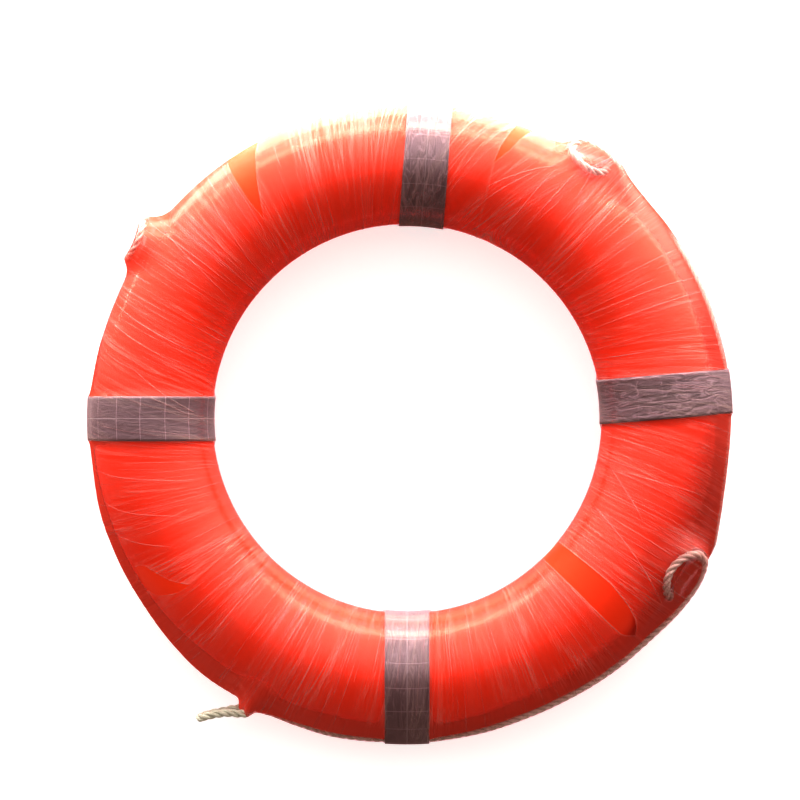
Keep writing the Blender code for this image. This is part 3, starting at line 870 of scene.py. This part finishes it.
# %% Bare wedges
WEDGES = {
    "upper_right": ((-60, 66.5, 66.5), (-20, 65.8, 68.2), (0, 65.5, 69.3), (20, 66.6, 69.5), (40, 67.8, 70.2),
                    (60, 69.1, 71.0), (78, 71.3, 71.3)),
    "upper_left": ((-60, 120, 120), (-25, 119, 123.5), (12, 118.1, 124.8), (33, 119.5, 125.3),
                   (55, 121.2, 125.7), (80, 123.5, 125.9), (100, 125.6, 125.6)),
    "lower_left": ((20, 211, 211), (27, 208.7, 214), (34, 208.6, 215.2), (44, 209.4, 216), (61, 214.5, 217.2),
                   (75, 217.5, 217.5)),
    "lower_right": ((27, 316.5, 316.5), (33, 315.5, 317.7), (40, 314.9, 318.6), (57, 314.7, 319.7),
                    (85, 314.6, 320.9), (106, 314.6, 321.05), (166, 314.2, 320.9), (190, 314.5, 319.5),
                    (215, 317, 317)),
}


def wedge_edges(quarter, run):
    """Ring angles of the two edges of a quarter's bare wedge, which meet beyond its ends."""
    table = np.array(WEDGES[quarter], float)
    return [np.interp(run, run_at(table[:, 0]), table[:, i], period=GIRTH) for i in (1, 2)]


# %% Milky spans and painted shade
# Where the film spans free of the shell, a red milk is laid on it: partly the shell's red through several
# layers, partly painted shade that stands in for the dim gap under the film. The tables give its share by
# ring angle: between the line and the shell, and on the line itself, which shows clearly on the upper
# right, at the loops and along the bottom.
SPAN_RED_AND_SHADE = np.array(((0, 0.9), (30, 0.9), (50, 0.75), (62, 0.6), (75, 0.4), (100, 0.4), (138, 0.7),
                      (152, 0.9), (180, 0.9), (300, 0.9), (330, 0.85)))
# On the line the share comes with its reach: how far round the line's middle the film is that clear.
LINE_RED_AND_SHADE = np.array(((0, 0.6, 6.8), (10, 0.35, 8.5), (20, 0.1, 8.5), (32, 0.1, 8.5), (37, 0.8, 7),
                      (47, 0.8, 7), (51, 0.05, 6.8), (60, 0.05, 6.8), (70, 0.2, 6.8), (100, 0.2, 6.8),
                      (138, 0.3, 6.8), (142, 0.1, 6.8), (148, 0.15, 6.8), (152, 0.85, 6.8), (180, 0.9, 6.8),
                      (234, 0.8, 6.8), (240, 0.4, 6.8), (246, 0.3, 6.8), (252, 0.05, 8.8), (318, 0.05, 8.8),
                      (324, 0.1, 7.2), (336, 0.12, 6.8), (344, 0.5, 6.8)))
# The tone of the red, from deep to light. The deep tone is painted shade: deep round the right band,
# and less deep along the bottom.
SPAN_PAINTED_LIGHT = np.array(((0, 0.4), (12, 0.3), (45, 0.4), (60, 1.0), (170, 1.0), (185, 0.8), (215, 0.8),
                      (235, 1.0), (262, 0.7), (318, 0.4), (330, 0.15), (350, 0.2)))
# Between the right band and the loop, deep red milk lies on the film where it touches the shell: painted
# shade that darkens the shell there.
RIGHT_PAINTED_SHADE = np.array(((322, 0.0), (332, 0.5), (350, 0.6), (360, 0.6), (362, 0.3), (366, 0.0)))

# How far round the nearest line's middle the haze takes to change over, in millimetres.
LINE_FADE = 1.6
# Where the film stands off the shell, from 0 to 1. It starts softly, 6 mm before the film leaves the shell.
LAID_HEIGHT, LIFTED_BY = 0.62 * MM, 0.9 * MM
LIFTED = np.clip((FILM_HEIGHT - LAID_HEIGHT) / LIFTED_BY, 0, 1)
LIFTED = np.clip(2 * sum(np.roll(LIFTED, k, axis=1) for k in range(-3, 4)) / 7, 0, 1)


def span_share(ring, run, places, near_line):
    """Share of red milk in the film, partly painted shade: where it stands off the shell, on the outer side,
    off the tapes, and as painted shade on the shell near the right band.
    """
    on_line, reach = by_ring(LINE_RED_AND_SHADE, ring, 1), by_ring(LINE_RED_AND_SHADE, ring, 2)
    gaps = np.array([near_line.find(place)[2] for place in places])
    clear_of_line = np.clip((gaps / MM - reach) / LINE_FADE, 0, 1)
    # The red milk over the spans is partly painted shade.
    share = on_line + (by_ring(SPAN_RED_AND_SHADE, ring) - on_line) * clear_of_line
    share *= on_map(LIFTED, ring, run)
    past_edge = np.mod(run + GIRTH / 2, GIRTH) - GIRTH / 2
    share *= np.interp(past_edge, [-60 * MM, -35 * MM, run_at(25.0), run_at(50.0)], [0.3, 1.0, 1.0, 0.2])
    # Painted shade: the red milk also darkens the shell near the right band.
    right_shade = np.interp(np.mod(ring - 180, 360) + 180, RIGHT_PAINTED_SHADE[:, 0], RIGHT_PAINTED_SHADE[:, 1])
    right_shade *= np.interp(past_edge, [0, run_at(12.0), run_at(38.0), run_at(68.0)], [0.0, 1.0, 1.0, 0.0])
    share = np.maximum(share, right_shade * clear_of_line)
    for angle, _, _ in BANDS.values():
        off = np.radians(ring - angle)
        side = np.abs(np.sin(off)) * np.hypot(places[:, 0], places[:, 1])
        # Film that lies on a tape carries no red. The share starts at the tape's edge, over 1 mm.
        past_tape = np.clip((side - TAPE_WIDTH / 2) / MM + 0.2, 0, 1)
        share = np.where(np.cos(off) > 0, share * past_tape, share)
    return share


def line_finder(quarter):
    """Finds the nearest point of the quarter's line."""
    path = PATHS[quarter][0]
    finder = KDTree(len(path))
    for number, point in enumerate(path):
        finder.insert(point, number)
    finder.balance()
    return finder


# %% Quarters of the film
CELL = 1.6 * MM
SECTION_CELLS = 200
HEM_MILK = {"upper_right": 0.3, "upper_left": 0.25, "lower_left": 0.3, "lower_right": 1.0}
HEM_HEIGHT = 0.35 * MM
CREASE_LIFT = 0.25 * MM


def film_map(ring, run):
    """Place on the flat film in millimetres: across the pull lines, and along them."""
    return np.stack([np.radians(pull_line(ring, run)) * CENTRE_RADIUS, run], axis=1) / MM


def wrinkle(start, run, rng):
    """Small folds along the pull lines, higher in bunches."""
    total = np.zeros(len(start))
    for _ in range(14):
        waves = rng.integers(110, 330)
        swing = rng.uniform(0.5, 2.5)
        swing = swing * np.sin(run / GIRTH * 2 * np.pi * rng.integers(1, 3) + rng.uniform(0, 6.28))
        total += np.cos(np.radians(start) * waves + swing + rng.uniform(0, 6.28))
    bunch = np.sin(np.radians(start) * 23 + 2.0) + np.sin(np.radians(start) * 41 + run / GIRTH * 9)
    return 0.022 * MM * (total + 4) * np.clip(0.6 + 0.4 * bunch, 0.15, 1.4)


def film_turn(bm, quarter, start, end, open_side, near_line, seed):
    """One turn of film between two edges, each a function of the way round or an angle."""
    def edge(which, run):
        return which(run) if callable(which) else np.full(len(run), float(which))

    probe = np.linspace(0, GIRTH, 60)
    width = np.radians((edge(end, probe) - edge(start, probe)).max()) * OUTER_RADIUS
    across = int(width / CELL)
    # The last cells beside the open edge are narrow, so that its rolled hem is a thin line.
    hem = 1 - np.array([across, 3, 2, 1, 0]) / across
    hem_place = 1 - np.array([across, 2.2, 1.1, 0.5, 0]) / across

    def rule(u, v):
        run = RUN_BACK + v * GIRTH
        low, high = edge(start, run), edge(end, run)
        even = 1 - u if open_side == "low" else u
        spread = np.interp(even, hem, hem_place)
        ring = low + (high - low) * (1 - spread if open_side == "low" else spread)
        rolled = np.interp(even, hem, [0, 0, 0.3, 1.0, 0.6])
        folds = wrinkle(pull_line(ring, run), run, np.random.default_rng(seed))
        places = film_place(ring, run, on_map(FILM_HEIGHT, ring, run) + folds + rolled * HEM_HEIGHT)
        values = {"gather": rolled * HEM_MILK[quarter], "span": span_share(ring, run, places, near_line),
                  "span_painted_light": by_ring(SPAN_PAINTED_LIGHT, ring)}
        return places, film_map(ring, run), values

    lay_grid(bm, across, SECTION_CELLS, rule)


def crease(bm, first, last, width, lift, milk, rng, straight=True):
    """Narrow ridge on the film from one place to another, each a ring angle and a way round."""
    (ring_a, run_a), (ring_b, run_b) = first, last
    flow = np.array([math.radians(ring_b - ring_a) * CENTRE_RADIUS, run_b - run_a])
    length = math.hypot(*flow)
    cells = max(8, int(length / (3 * MM)))
    sway, phase = rng.uniform(0.1, 0.5), rng.uniform(0, 6.28)

    def rule(u, v):
        run = run_a + (run_b - run_a) * v
        ring = ring_a + (ring_b - ring_a) * v if straight else ring_a + drift(ring_a, run)
        ring = ring + np.degrees(sway * MM * np.sin(v * 7 + phase) / CENTRE_RADIUS)
        taper = np.minimum(1, np.minimum(v, 1 - v) * 5) * 0.85 + 0.15
        side = (u - 0.5) * width * taper / length
        ring, run = ring - np.degrees(flow[1] * side / wrapped(run, BASE[:, 0])), run + flow[0] * side
        ridge = 1 - np.abs(2 * u - 1)
        height = on_map(FILM_HEIGHT, ring, run) + CREASE_LIFT + ridge * lift * taper
        values = {"gather": milk * (0.3 + ridge), "span": 0 * u, "span_painted_light": 0 * u}
        return film_place(ring, run, height), film_map(ring, run), values

    lay_grid(bm, 2, cells, rule)


# %% Film material
def film_material():
    """Clear polyethylene stretch film: a sharp sheen, with milky stretch marks and rolled edges.

    Several turns lie on each other, so it mirrors about twice as much as one sheet does."""
    material = new_material("clear_stretch_film")
    lay = add(material, "UVMap", uv_map="strip_map")
    # Three sets of stretch marks cross at small angles: turn, width and length of a mark, and its line.
    marks = 0.0
    for turn, wide, long, half_line in ((0, 8, 420, 0.03), (4, 5, 300, 0.025), (-5, 6.5, 220, 0.028)):
        line = contour(material, drawn_noise(material, lay, (wide, long), 1.5, turn), half_line, 1)
        marks = maths(material, "MAXIMUM", marks, line)
    bunches = remap(material, drawn_noise(material, lay, (32, 120), 2), 0.38, 0.66, 0.1, 1)
    fine = maths(material, "MULTIPLY", marks, bunches)
    soft = drawn_noise(material, lay, (14, 190), 3)
    veil = remap(material, soft, 0.35, 0.7, 0.005, 0.06)
    streaks = maths(material, "MULTIPLY_ADD", fine, 0.31, veil)
    milky = maths(material, "MULTIPLY_ADD", known(material, "gather"), 0.4, streaks, use_clamp=True)
    relief = raised(material, maths(material, "MULTIPLY_ADD", soft, 0.6, fine), 0.35, 0.25 * MM)
    # Several turns tint what lies under them a little pink: the silver tape looks mauve through them.
    clear = add(material, "BsdfTransparent", {"Color": "FFF0F5"})
    milk = add(material, "BsdfDiffuse", {"Color": "FBDDD6", "Normal": relief})
    glow = add(material, "BsdfTranslucent", {"Color": "FBDDD6", "Normal": relief})
    # Thin red milk loses light twice, on its way to the shell and back. More colour makes up for it.
    span = known(material, "span")
    # The red milk runs from a deep tone, which is painted shade, to a light one.
    red_with_painted_shade = blend(material, known(material, "span_painted_light"), "9E2C1C", "DE4A35")
    lit = add(material, "VectorMath", {0: red_with_painted_shade, "Scale": maths(material, "SUBTRACT", 2, span)},
              operation="SCALE")
    red = add(material, "BsdfDiffuse", {"Color": lit, "Normal": relief})
    gloss = add(material, "BsdfGlossy", {"Roughness": 0.23, "Normal": relief})
    fresnel = add(material, "Fresnel", {"IOR": 1.5, "Normal": relief})
    # At a low angle the shell still shows through, so the mirror stops early.
    mirror = maths(material, "MINIMUM", maths(material, "MULTIPLY", fresnel, 1.9), 0.065)
    milk = add(material, "MixShader", {0: 0.4, 1: milk, 2: glow})
    layers = clear
    for share, layer in ((milky, milk), (span, red), (mirror, gloss)):
        layers = add(material, "MixShader", {0: share, 1: layers, 2: layer})
    add(material, "OutputMaterial", {"Surface": layers})
    return material


# %% Film on each quarter
FOLDS = {
    "upper_right": ((46, 7, 44.9, 120), (30, 149, 25.8, 0), (25.8, 149, 23.2, 0), (59.1, 55, 63.8, 158),
                    (61.7, 64, 71.1, 119), (55.4, 46, 58.4, 131), (53.4, 28, 52.5, 69),
                    (58.6, 49, 71.2, 102)),
    "upper_left": ((157.7, 0, 162.5, 112), (142.7, 17, 142.7, 121), (141.8, 26, 145.9, 136),
                   (131.7, 50, 135.1, 130), (169.3, 66, 178.8, 137), (161.5, 19, 166.7, 111),
                   (174.8, 86, 179.0, 130)),
    "lower_left": ((227.2, 132, 228, 44), (242.5, 141, 240.5, 0), (189.5, 18, 195.8, 119),
                   (195.1, 12, 203.5, 102), (200.9, 13, 208.5, 80)),
    "lower_right": ((334.2, 118, 332.6, 46), (336, 155, 323.8, 28), (355.3, 159, 352.5, 89),
                    (347, 144, 336.5, 90), (346.3, 129, 345.4, 36)),
}
QUARTER_ENDS = {quarter: (BANDS[a][0], BANDS[b][0] + (360 if BANDS[b][0] < BANDS[a][0] else 0))
                for quarter, (a, b, _) in ROUTES.items()}
# Width, height and milk of these folds, which are placed one by one. The rest of the creases are seeded.
FOLD_SHAPE = (1.5 * MM, 0.5 * MM, 0.33)
SEEDED_CREASES = 170
# This share of them gathers at the quarter's loop, and strays from it by about this many degrees.
LOOP_SHARE, LOOP_SPREAD = 0.35, 9
LOOP_ANGLES = {"upper_right": 63.0, "upper_left": 141.0, "lower_left": 243.0, "lower_right": 337.0}


def film(quarter, seed, material):
    """Two turns of film over a quarter, with its creases."""
    start, end = QUARTER_ENDS[quarter]
    rng = np.random.default_rng(seed)
    bm = bmesh.new()
    near_line = line_finder(quarter)
    film_turn(bm, quarter, start + 0.03, lambda run: wedge_edges(quarter, run)[0], "high", near_line, seed)
    film_turn(bm, quarter, lambda run: wedge_edges(quarter, run)[1], end - 0.03, "low", near_line, seed)
    close_seam(bm)
    bmesh.ops.recalc_face_normals(bm, faces=bm.faces)
    for ring_a, section_a, ring_b, section_b in FOLDS[quarter]:
        crease(bm, (ring_a, run_at(section_a)), (ring_b, run_at(section_b)), *FOLD_SHAPE, rng)
    for _ in range(SEEDED_CREASES):
        if rng.uniform() < LOOP_SHARE:
            line = rng.normal(LOOP_ANGLES[quarter], LOOP_SPREAD)
        else:
            line = rng.uniform(start + 2, end - 2)
        middle, half = rng.uniform(0, RUN_INNER), rng.uniform(12, 60) * MM
        low, high = max(middle - half, -20 * MM), min(middle + half, RUN_INNER + 25 * MM)
        width, lift = rng.uniform(0.4, 1.2) * MM, rng.uniform(0.05, 0.2) * MM
        runs = np.linspace(low, high, 9)
        rings = line + drift(line, runs)
        edges = np.array(wedge_edges(quarter, runs))
        before, after = (rings < edges[0] - 0.2).all(), (rings > edges[1] + 0.2).all()
        if (before or after) and rings.min() > start and rings.max() < end:
            crease(bm, (line, low), (line, high), width, lift, rng.uniform(0.06, 0.3), rng, straight=False)
    mesh = smooth_mesh(f"film_{quarter}", bm, 75)
    piece = add_piece(mesh, material, f"film_wrap_{quarter}")


film_finish = film_material()
for number, quarter in enumerate(ROUTES):
    film(quarter, 20 + number, film_finish)

# %% [markdown]
# ## Floor and light
# The photograph has a plain white ground. Its light comes from the top of the picture, where a wide
# bright source shows as the pale streak along each upper shoulder. Two large panels stand on that side:
# one lights the surfaces plainly, and one is only seen in their gloss, so that each can be set alone. Two
# pale cards give the smaller highlights. The other side is dim and warm, and keeps the lower rim dark.

# %% Floor
def floor_material():
    """Matt white paper with the faintest tooth, on a light table that softens the shadows."""
    material = new_material("matt_white_paper")
    tooth = noise(material, 2 * MM, 3)
    shader = add(material, "BsdfPrincipled", {"Base Color": blend(material, tooth, "BABABA", "C2C2C2"),
                                              "Roughness": 0.9, "Specular IOR Level": 0.1,
                                              "Emission Color": (1, 1, 1, 1), "Emission Strength": 0.75})
    add(material, "OutputMaterial", {"Surface": shader})
    return material


FLOOR_SIZE, FLOOR_LEVEL = 8.0, -0.9 * MM
floor_bm = bmesh.new()
bmesh.ops.create_grid(floor_bm, x_segments=2, y_segments=2, size=FLOOR_SIZE)
bmesh.ops.translate(floor_bm, verts=floor_bm.verts, vec=(0, 0, FLOOR_LEVEL))
floor = put_in_scene("floor", mesh_of("floor", floor_bm))
floor.data.materials.append(floor_material())
# The film's sheen shows the dim side of the studio, not the white floor, so that the rims stay red.
floor.visible_glossy = False

# %% Lights
def panel(name, place, facing, size, radiance, colour, lit_by="both"):
    """Soft rectangular light that the camera doesn't see, of this radiance. One can light by its mirror
    image or by its plain light alone."""
    data = bpy.data.lights.new(name, "AREA")
    data.shape, (data.size, data.size_y) = "RECTANGLE", size
    data.energy, data.color = radiance * math.pi * size[0] * size[1], colour
    light = put_in_scene(name, data)
    light.location = place
    light.rotation_euler = Vector(facing).to_track_quat("-Z", "Y").to_euler()
    light.visible_camera = False
    light.visible_glossy, light.visible_diffuse = lit_by != "plain light", lit_by != "mirror image"


TO_RING, UPWARDS = (0, -1, 0), (0, 0, 1)
panel("sky_panel", (0, 3.0, 0.6), TO_RING, (4.8, 1.2), 18.0, (1.0, 0.975, 0.92), "plain light")
panel("cream_panel", (0, 3.0, 0.95), TO_RING, (5.2, 1.9), 7.0, (1.0, 0.93, 0.70), "mirror image")
# A low card in the hole shows in the inner shoulder of the bottom part, as pale ground would.
panel("hole_card", (0, 0.2, -0.08), TO_RING, (0.42, 0.34), 2.3, (1.0, 0.9, 0.6), "mirror image")
# A pale card lies on the floor before the panels and fills the mirror image below them.
panel("floor_card", (0, 1.39, 0.004), UPWARDS, (3.0, 2.08), 8.0, (1.0, 0.95, 0.80))

# %% Surround
SKY, GROUND = (2.05, 2.0, 1.94, 1.0), (0.27, 0.17, 0.11, 1.0)


def studio_world():
    """Bright on the side of the panels, dim and warm on the other side."""
    world = bpy.data.worlds.new("studio")
    world.use_nodes = True
    way = add(world, "SeparateXYZ", {0: add(world, "TexCoord").outputs["Generated"]})
    share = add(world, "MapRange", {0: way.outputs["Y"], 1: -0.30, 2: 0.50, 3: 0, 4: 1},
                interpolation_type="SMOOTHSTEP")
    background = world.node_tree.nodes["Background"]
    world.node_tree.links.new(blend(world, share, GROUND, SKY), background.inputs["Color"])
    return world


bpy.context.scene.world = studio_world()
view = bpy.context.scene.view_settings
view.view_transform = "Standard"
view.look = "None"
# The photograph is a hard, bright print: its shade is deeper than the light alone would make it.
view.gamma = 0.68
